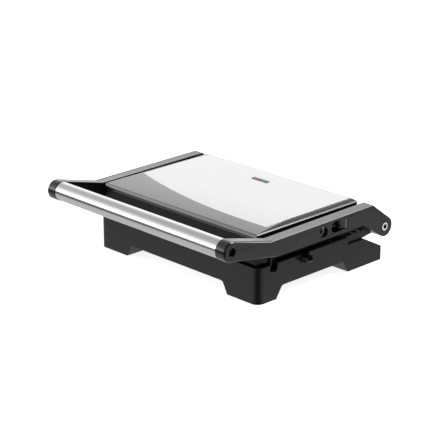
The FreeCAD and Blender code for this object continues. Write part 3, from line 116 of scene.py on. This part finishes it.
def make_mould_grain():
    """Fine spark-eroded grain of moulded plastic, with slow patches of sheen."""
    tree, given, put = new_group(
        "mould grain",
        [("Colour", COLOUR, (0.03, 0.03, 0.03, 1)), ("Roughness", FLOAT, 0.4),
         ("Grain Scale", FLOAT, GRAIN_SCALE), ("Grain Depth", FLOAT, 0.1), ("Patchiness", FLOAT, 0.08)],
        [("Colour", COLOUR), ("Roughness", FLOAT), ("Normal", VECTOR)])
    coordinates = tree.nodes.new("ShaderNodeTexCoord")
    grain = tree.nodes.new("ShaderNodeTexNoise")
    grain.inputs["Detail"].default_value = GRAIN_DETAIL
    tree.links.new(coordinates.outputs["Object"], grain.inputs["Vector"])
    tree.links.new(given.outputs["Grain Scale"], grain.inputs["Scale"])
    bump = tree.nodes.new("ShaderNodeBump")
    bump.inputs["Distance"].default_value = GRAIN_RELIEF
    tree.links.new(given.outputs["Grain Depth"], bump.inputs["Strength"])
    tree.links.new(grain.outputs["Fac"], bump.inputs["Height"])
    patches = tree.nodes.new("ShaderNodeTexNoise")
    patches.inputs["Scale"].default_value = PATCH_SCALE
    patches.inputs["Detail"].default_value = PATCH_DETAIL
    tree.links.new(coordinates.outputs["Object"], patches.inputs["Vector"])
    centred = math_node(tree, "SUBTRACT", patches.outputs["Fac"], 0.5)
    swing = math_node(tree, "MULTIPLY", centred, given.outputs["Patchiness"])
    rough = math_node(tree, "ADD", swing, given.outputs["Roughness"])
    lift = math_node(tree, "MULTIPLY", swing, PATCH_BRIGHTNESS_SHARE)
    brightness = math_node(tree, "ADD", lift, 1.0)
    tint = tree.nodes.new("ShaderNodeMix")
    tint.data_type = "RGBA"
    tint.blend_type = "MULTIPLY"
    tint.inputs["Factor"].default_value = 1.0
    tree.links.new(given.outputs["Colour"], tint.inputs["A"])
    tree.links.new(brightness, tint.inputs["B"])
    tree.links.new(tint.outputs["Result"], put.inputs["Colour"])
    tree.links.new(rough, put.inputs["Roughness"])
    tree.links.new(bump.outputs["Normal"], put.inputs["Normal"])
    return tree


def make_brushing():
    """Long fine scratches of brushed metal, drawn out along one object axis."""
    tree, given, put = new_group(
        "brushed metal",
        [("Vector", VECTOR, None), ("Colour", COLOUR, (0.7, 0.7, 0.7, 1)), ("Roughness", FLOAT, 0.3),
         ("Streaks", FLOAT, 0.1), ("Depth", FLOAT, 0.1)],
        [("Colour", COLOUR), ("Roughness", FLOAT), ("Normal", VECTOR)])
    fine = tree.nodes.new("ShaderNodeTexNoise")
    fine.inputs["Scale"].default_value = STREAK_SCALE
    fine.inputs["Detail"].default_value = STREAK_DETAIL
    fine.inputs["Roughness"].default_value = STREAK_HARSHNESS
    tree.links.new(given.outputs["Vector"], fine.inputs["Vector"])
    centred = math_node(tree, "SUBTRACT", fine.outputs["Fac"], 0.5)
    swing = math_node(tree, "MULTIPLY", centred, given.outputs["Streaks"])
    rough = math_node(tree, "ADD", swing, given.outputs["Roughness"])
    brightness = math_node(tree, "ADD", swing, 1.0)
    tint = tree.nodes.new("ShaderNodeMix")
    tint.data_type = "RGBA"
    tint.blend_type = "MULTIPLY"
    tint.inputs["Factor"].default_value = 1.0
    tree.links.new(given.outputs["Colour"], tint.inputs["A"])
    tree.links.new(brightness, tint.inputs["B"])
    bump = tree.nodes.new("ShaderNodeBump")
    bump.inputs["Distance"].default_value = STREAK_RELIEF
    tree.links.new(given.outputs["Depth"], bump.inputs["Strength"])
    tree.links.new(fine.outputs["Fac"], bump.inputs["Height"])
    tree.links.new(tint.outputs["Result"], put.inputs["Colour"])
    tree.links.new(rough, put.inputs["Roughness"])
    tree.links.new(bump.outputs["Normal"], put.inputs["Normal"])
    return tree


mould_grain = make_mould_grain()
brushing = make_brushing()


# ------------------------------------------------------------ materials
def plastic(name, colour, roughness, grain_depth=0.12, patchiness=0.08, coat=0.0, specular=0.5):
    material, tree, shader = new_material(name)
    grain = place_group(tree, mould_grain, Colour=(*colour, 1), Roughness=roughness,
                        Grain_Depth=grain_depth, Patchiness=patchiness)
    tree.links.new(grain.outputs["Colour"], shader.inputs["Base Color"])
    tree.links.new(grain.outputs["Roughness"], shader.inputs["Roughness"])
    tree.links.new(grain.outputs["Normal"], shader.inputs["Normal"])
    shader.inputs["Coat Weight"].default_value = coat
    shader.inputs["Specular IOR Level"].default_value = specular
    return material


def brushed(name, colour, roughness, stretch, streaks=0.12, depth=0.1, metallic=1.0):
    material, tree, shader = new_material(name)
    group = place_group(tree, brushing, Colour=(*colour, 1), Roughness=roughness, Streaks=streaks,
                        Depth=depth)
    tree.links.new(object_vector(tree, stretch), group.inputs["Vector"])
    tree.links.new(group.outputs["Colour"], shader.inputs["Base Color"])
    tree.links.new(group.outputs["Roughness"], shader.inputs["Roughness"])
    tree.links.new(group.outputs["Normal"], shader.inputs["Normal"])
    shader.inputs["Metallic"].default_value = metallic
    return material


ALONG_SHEET = (30.0, 2600.0, 2600.0)
ALONG_TUBE = (40.0, 2600.0, 2600.0)
ALONG_PLATE = (60.0, 1500.0, 1500.0)
FINE_EVEN = (900.0, 900.0, 900.0)
COARSE_EVEN = (300.0, 300.0, 300.0)
JET = (0.004, 0.004, 0.0042)

black_shell = plastic("black satin plastic", JET, roughness=0.3, grain_depth=0.05)
black_arm = plastic("black arm plastic", JET, roughness=0.2, grain_depth=0.03, patchiness=0.05, coat=0.2)
gloss_black = plastic("gloss black plastic", (0.003, 0.003, 0.003), roughness=0.1, grain_depth=0.02,
                      patchiness=0.03)
smoked_lid = plastic("smoked lid plastic", (0.006, 0.006, 0.0062), roughness=0.24, grain_depth=0.04,
                     patchiness=0.05, coat=0.75)
lid_underside = plastic("lid housing plastic", (0.003, 0.003, 0.0032), roughness=0.34, specular=0.3)
lid_steel = brushed("brushed steel sheet", (0.62, 0.62, 0.623), 0.3, ALONG_SHEET)
tube_steel = brushed("brushed steel tube", (0.64, 0.64, 0.643), 0.16, ALONG_TUBE)
bright_steel = brushed("bright plated steel", (0.75, 0.75, 0.76), 0.22, FINE_EVEN, streaks=0.1)
coated_cast = plastic("non-stick coating", (0.016, 0.016, 0.016), roughness=0.42, grain_depth=0.3,
                      patchiness=0.14)
sheet_plate = brushed("plated sheet", (0.6, 0.6, 0.6), 0.35, ALONG_PLATE)
dark_sheath = brushed("heat darkened sheath", (0.16, 0.15, 0.14), 0.45, COARSE_EVEN, streaks=0.3)
ceramic = plastic("unglazed ceramic", (0.7, 0.68, 0.62), roughness=0.7)
rubber = plastic("matt rubber", (0.018, 0.018, 0.018), roughness=0.75, grain_depth=0.4)
red_lens = plastic("red lens", (0.55, 0.02, 0.015), roughness=0.2, grain_depth=0.02)
green_lens = plastic("green lens", (0.03, 0.3, 0.07), roughness=0.2, grain_depth=0.02)
black_steel = plastic("blackened steel", (0.012, 0.012, 0.012), roughness=0.35)

slot_materials = {
    "black_plastic": black_shell, "gloss_black": gloss_black, "grey_plastic": smoked_lid,
    "brushed_steel": lid_steel, "coated_plate": coated_cast, "bright_steel": bright_steel,
    "black_steel": black_steel, "plated_sheet": sheet_plate, "element_sheath": dark_sheath,
    "ceramic": ceramic, "rubber": rubber, "red_lens": red_lens, "green_lens": green_lens,
}
HINGE_CUP_RADIUS = 2.8 * MM
PIVOT_CUP_RADIUS = 4.4 * MM
TAB_BEHIND_SLIDER_FRONT = 3.8 * MM
BORDER = 0.2 * MM
TURNING_SCALE = 900.0
# Pin-end tones: the dark cup tone is painted shade in the recess, the pale ring tone is a painted
# highlight, and the ring's low metallic keeps that pale base colour showing.
CUP_PAINTED_SHADE_TONE = (0.02, 0.02, 0.02, 1)
RING_PAINTED_HIGHLIGHT_TONE = (0.86, 0.86, 0.86, 1)
RING_METALLIC = 0.35
SLIDER_TONE = (0.012, 0.012, 0.012, 1)
TAB_TONE = (0.06, 0.06, 0.061, 1)


def object_axes(tree):
    """Object coordinates as one vector and as separate X, Y and Z."""
    coordinates = tree.nodes.new("ShaderNodeTexCoord")
    split = tree.nodes.new("ShaderNodeSeparateXYZ")
    tree.links.new(coordinates.outputs["Object"], split.inputs["Vector"])
    return coordinates.outputs["Object"], split.outputs


def two_tones(tree, share, first, second):
    """Colour that goes from the first tone to the second with the share."""
    tone = tree.nodes.new("ShaderNodeMix")
    tone.data_type = "RGBA"
    tree.links.new(share, tone.inputs["Factor"])
    for label, value in (("A", first), ("B", second)):
        if isinstance(value, tuple):
            tone.inputs[label].default_value = value
        else:
            tree.links.new(value, tone.inputs[label])
    return tone.outputs["Result"]


def pin_steel_painted_light(name, node, cup_radius):
    """Pin end with painted light: a pale ring tone as a painted highlight round a near-black cup tone as
    painted shade in the recess.
    """
    material, tree, shader = new_material(name)
    place, axes = object_axes(tree)
    low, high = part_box(node)
    middle = (low + high) / 2
    across = math_node(tree, "SUBTRACT", axes["Y"], middle.y)
    up = math_node(tree, "SUBTRACT", axes["Z"], middle.z)
    square = math_node(tree, "ADD", math_node(tree, "MULTIPLY", across, across),
                       math_node(tree, "MULTIPLY", up, up))
    radius = math_node(tree, "SQRT", square, 0.0)
    cup_shade_to_ring_highlight = ramp(tree, radius, cup_radius - BORDER, cup_radius + BORDER, 0.0, 1.0)
    turning = tree.nodes.new("ShaderNodeTexNoise")
    turning.inputs["Scale"].default_value = TURNING_SCALE
    tree.links.new(place, turning.inputs["Vector"])
    # Painted light: dark cup tone (painted shade) inside the cup radius, pale ring tone (painted
    # highlight) outside it.
    tree.links.new(two_tones(tree, cup_shade_to_ring_highlight, CUP_PAINTED_SHADE_TONE, RING_PAINTED_HIGHLIGHT_TONE), shader.inputs["Base Color"])
    shader.inputs["Metallic"].default_value = RING_METALLIC
    rough = ramp(tree, turning.outputs["Fac"], low=0.3, high=0.7, start=0.3, end=0.42)
    tree.links.new(rough, shader.inputs["Roughness"])
    return material


def slider_plastic():
    """Black slider whose rear end, the thumb tab, is a paler grey."""
    material, tree, shader = new_material("two tone slider")
    grain = place_group(tree, mould_grain, Colour=SLIDER_TONE, Roughness=0.4, Grain_Depth=0.1,
                        Patchiness=0.08)
    place, axes = object_axes(tree)
    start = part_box("release_slider")[0].y + TAB_BEHIND_SLIDER_FRONT
    tab = ramp(tree, axes["Y"], start - BORDER, start + BORDER, 0.0, 1.0)
    tree.links.new(two_tones(tree, tab, grain.outputs["Colour"], TAB_TONE), shader.inputs["Base Color"])
    tree.links.new(grain.outputs["Roughness"], shader.inputs["Roughness"])
    tree.links.new(grain.outputs["Normal"], shader.inputs["Normal"])
    return material


# Pivot heads and hinge pins carry the painted highlight ring and the painted shade cup.
pivot_head_painted_light = pin_steel_painted_light("pivot head painted highlight and shade", "lid_pivot_pin_right", PIVOT_CUP_RADIUS)
hinge_pin_painted_light = pin_steel_painted_light("hinge pin painted highlight and shade", "hinge_pin_right", HINGE_CUP_RADIUS)
own_materials = {
    "handle_tube": tube_steel, "right_arm": black_arm, "left_arm": black_arm,
    "lid_lower_housing": lid_underside, "release_spring": black_steel, "release_guide_pin": black_steel,
    "release_slider": slider_plastic(),
    "lid_pivot_pin_right": pivot_head_painted_light, "lid_pivot_pin_left": pivot_head_painted_light,
    "hinge_pin_right": hinge_pin_painted_light, "hinge_pin_left": hinge_pin_painted_light,
}


def dress_nodes():
    """Give every node of the design its finish."""
    for part in frame["record"]["subparts"]:
        node = frame["nodes"][part["node"]]
        finish = own_materials.get(part["node"], slot_materials[part["material_slot"]])
        for material_slot in node.material_slots:
            material_slot.material = finish
        if not node.material_slots:
            node.data.materials.append(finish)


dress_nodes()


# ------------------------------------------------------------ softened edges
SOFT_EDGES = {
    "base_housing": 0.6, "right_arm": 0.4, "left_arm": 0.4, "lid_top_cover": 0.3,
    "lid_lower_housing": 0.35, "lid_steel_panel": 0.12, "hinge_bracket_right": 0.4,
    "hinge_bracket_left": 0.4,
    "handle_tube": 0.1, "release_slider": 0.3, "lamp_bezel": 0.15, "power_lamp": 0.2,
    "ready_lamp": 0.2, "hinge_pin_right": 0.25, "hinge_pin_left": 0.25,
    "lid_pivot_pin_right": 0.2, "lid_pivot_pin_left": 0.2, "handle_screws": 0.2,
    "lower_grill_plate": 0.4, "upper_grill_plate": 0.4, "rubber_feet": 0.3,
    "base_bottom_cover": 0.2, "cord_inlet_bush": 0.3,
}


SHARPEST_SMOOTH_ANGLE = 32
SHALLOW_EDGES = {"lid_top_cover": 18}
WELD_DISTANCE = 0.002 * MM
EVEN_WEIGHT = 60


def soften(node, width):
    """Round the sharp edges of a node by a small bevel, and smooth its shading."""
    shape = frame["nodes"][node]
    shape.data.shade_smooth()
    weld = shape.modifiers.new("join faces", "WELD")
    weld.merge_threshold = WELD_DISTANCE
    bevel = shape.modifiers.new("soft edges", "BEVEL")
    bevel.width = width * MM
    bevel.segments = 2
    bevel.limit_method = "ANGLE"
    bevel.angle_limit = math.radians(SHALLOW_EDGES.get(node, SHARPEST_SMOOTH_ANGLE))
    bevel.use_clamp_overlap = False
    bevel.harden_normals = False
    normals = shape.modifiers.new("even shading", "WEIGHTED_NORMAL")
    normals.mode = "FACE_AREA"
    normals.weight = EVEN_WEIGHT


for soft_node, soft_width in SOFT_EDGES.items():
    soften(soft_node, soft_width)


# ------------------------------------------------------------ studio
STUDIO_FRONT = (0.7163, -0.6978, 0.0)
STUDIO_LEFT = (-0.6978, -0.7163, 0.0)
REAR_BOX_AT = (0.336, 0.657, 0.674)
REAR_WALL = 1.5
CEILING = 0.6
FRONT_SHARE = 0.25
SOFT_BOX = 2.0
REAR_BOX = 9.0
GROUND = 0.68
HORIZON_GAP = 0.15
WALL_FADE = (21, 46)
BOX_LOWER_EDGE = (1, 7)
BOX_UPPER_EDGE = (16, 24)
GROUND_EDGE = (-20, -14)
HORIZON_EDGE = (-2, 3)
REAR_TO_FRONT = (-0.2, 0.3)
BOX_SIDE_EDGE = (0.55, 0.75)
REAR_BOX_EDGE = (0.955, 0.985)
VIEWER_EDGE = (0.55, 0.88)
FLOOR_GLOW = 0.85
FLOOR_TONE = (0.86, 0.86, 0.86, 1)
FLOOR_ROUGHNESS = 0.8
FLOOR_HALF_SIZE = 9.0
WHITE = (1, 1, 1, 1)

CAMERA_AZIMUTH = 45.75
CAMERA_ELEVATION = 19.65
CAMERA_DISTANCE = 1.78976
CAMERA_TARGET = (-0.02266, 0.02367, 0.03502)
CAMERA_LENS = 130.47
SENSOR_WIDTH = 36.0
CLIP_END = 60.0


def make_floor():
    mesh = bpy.data.meshes.new("studio_floor")
    sheet = bmesh.new()
    bmesh.ops.create_grid(sheet, x_segments=1, y_segments=1, size=FLOOR_HALF_SIZE)
    sheet.to_mesh(mesh)
    sheet.free()
    floor = bpy.data.objects.new("studio_floor", mesh)
    bpy.context.scene.collection.objects.link(floor)
    material, tree, shader = new_material("pale floor")
    shader.inputs["Base Color"].default_value = FLOOR_TONE
    shader.inputs["Roughness"].default_value = FLOOR_ROUGHNESS
    shader.inputs["Specular IOR Level"].default_value = 0.0
    shader.inputs["Emission Color"].default_value = WHITE
    shader.inputs["Emission Strength"].default_value = FLOOR_GLOW
    mesh.materials.append(material)
    floor.visible_glossy = False


def make_world():
    """White studio: bright wall behind, a soft box at the left, a greyer ceiling,
    a dark gap along the horizon and a dark space on the viewer's side."""
    world = bpy.data.worlds.new("studio")
    bpy.context.scene.world = world
    world.use_nodes = True
    tree = world.node_tree
    coordinates = tree.nodes.new("ShaderNodeTexCoord")
    direction = coordinates.outputs["Generated"]
    split = tree.nodes.new("ShaderNodeSeparateXYZ")
    tree.links.new(direction, split.inputs["Vector"])

    def towards(axis):
        node = tree.nodes.new("ShaderNodeVectorMath")
        node.operation = "DOT_PRODUCT"
        tree.links.new(direction, node.inputs[0])
        node.inputs[1].default_value = axis
        return node.outputs["Value"]

    def by_height(edge, start, end):
        low, high = (math.sin(math.radians(angle)) for angle in edge)
        return ramp(tree, split.outputs["Z"], low, high, start, end)

    def product(first, second):
        return math_node(tree, "MULTIPLY", first, second)

    front = towards(STUDIO_FRONT)
    left = towards(STUDIO_LEFT)
    wall = by_height(WALL_FADE, REAR_WALL, CEILING)
    sky = product(wall, ramp(tree, front, *REAR_TO_FRONT, 1.0, FRONT_SHARE))
    box_height = product(by_height(BOX_LOWER_EDGE, 0.0, 1.0), by_height(BOX_UPPER_EDGE, 1.0, 0.0))
    box_side = ramp(tree, left, *BOX_SIDE_EDGE, 0.0, 1.0)
    soft_box = product(product(box_height, box_side), SOFT_BOX)
    rear_box = ramp(tree, towards(REAR_BOX_AT), *REAR_BOX_EDGE, 0.0, REAR_BOX)
    above = math_node(tree, "ADD", math_node(tree, "ADD", sky, soft_box), rear_box)
    ground = by_height(GROUND_EDGE, GROUND, HORIZON_GAP)
    below = product(ground, ramp(tree, front, *VIEWER_EDGE, 1.0, 0.0))
    mix = tree.nodes.new("ShaderNodeMix")
    tree.links.new(by_height(HORIZON_EDGE, 0.0, 1.0), mix.inputs["Factor"])
    tree.links.new(below, mix.inputs["A"])
    tree.links.new(above, mix.inputs["B"])
    tree.links.new(mix.outputs["Result"], tree.nodes["Background"].inputs["Strength"])
    tree.nodes["Background"].inputs["Color"].default_value = WHITE


def make_camera():
    """Long lens from the front right, slightly above the lid."""
    azimuth = math.radians(CAMERA_AZIMUTH)
    elevation = math.radians(CAMERA_ELEVATION)
    back = Vector((math.sin(azimuth) * math.cos(elevation), -math.cos(azimuth) * math.cos(elevation),
                   math.sin(elevation)))
    lens = bpy.data.cameras.new("camera")
    lens.sensor_width = SENSOR_WIDTH
    lens.lens = CAMERA_LENS
    lens.clip_end = CLIP_END
    camera = bpy.data.objects.new("camera", lens)
    bpy.context.scene.collection.objects.link(camera)
    camera.location = Vector(CAMERA_TARGET) + back * CAMERA_DISTANCE
    camera.rotation_euler = (-back).to_track_quat("-Z", "Y").to_euler()
    bpy.context.scene.camera = camera


make_floor()
make_world()
make_camera()
bpy.context.scene.view_settings.view_transform = "Standard"
